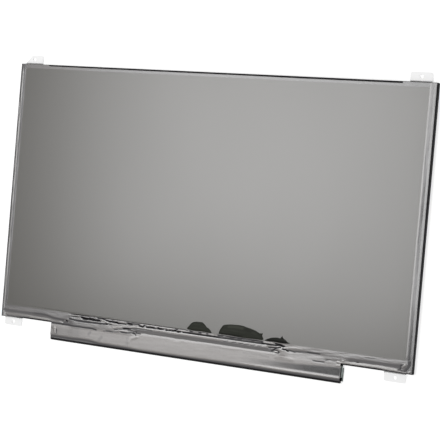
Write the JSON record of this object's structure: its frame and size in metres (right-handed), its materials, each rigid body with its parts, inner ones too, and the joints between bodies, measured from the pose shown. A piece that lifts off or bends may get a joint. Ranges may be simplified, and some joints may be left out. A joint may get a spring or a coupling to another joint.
{
  "type": "laptop screen panel",
  "caption": "Slim flat LCD screen module for a laptop lid, with a driver board along its lower edge, mounting ears at the corners and a clear protective film over the face.",
  "frame": {"origin": "middle of the body's outline, on the plane that the rear cover's pads rest on", "axes": "+X along the screen to the right, +Y up the screen, +Z out of the screen's face"},
  "size_m": [0.3042, 0.1955, 0.0034],
  "materials": {
    "cover_metal": "satin sheet",
    "frame_black": "matt black moulding",
    "tape_black": "black film tape",
    "film_clear": "clear creased film",
    "polariser_grey": "smooth neutral grey",
    "panel_glass": "clear thin glass",
    "sheet_white": "white sheet",
    "guide_clear": "clear plate",
    "led_yellow": "phosphor window in a white body",
    "flex_amber": "amber flexible circuit",
    "chip_black": "black epoxy",
    "board_green": "green solder mask",
    "socket_white": "natural moulding",
    "socket_steel": "plain stamped steel",
    "contact_gold": "gold plated",
    "capacitor_tan": "sintered chip"
  },
  "bodies": {
    "root": {"rear_cover": "cover_metal", "mould_frame": "frame_black", "reflector_sheet": "sheet_white", "light_guide": "guide_clear", "diffuser_sheet": "sheet_white", "lower_prism_sheet": "guide_clear", "upper_prism_sheet": "guide_clear", "leds": "led_yellow", "led_flex": "flex_amber", "light_shield_tape": "tape_black", "rear_polariser": "polariser_grey", "tft_glass": "panel_glass", "colour_filter_glass": "panel_glass", "front_polariser": "polariser_grey", "driver_ic_1": "chip_black", "driver_ic_2": "chip_black", "driver_ic_3": "chip_black", "driver_ic_4": "chip_black", "glass_flex": "flex_amber", "driver_board": "board_green", "timing_controller": "chip_black", "led_driver": "chip_black", "boost_inductor": "chip_black", "board_capacitors": "capacitor_tan", "socket_housing": "socket_white", "socket_shell": "socket_steel", "socket_contacts": "contact_gold", "led_socket": "socket_white", "led_socket_latch": "chip_black", "board_edge_tape": "tape_black", "board_cover_sheet": "tape_black", "right_edge_tape": "tape_black", "left_edge_tape": "tape_black", "top_edge_tape": "tape_black", "protective_film": "film_clear"}
  },
  "joints": []
}
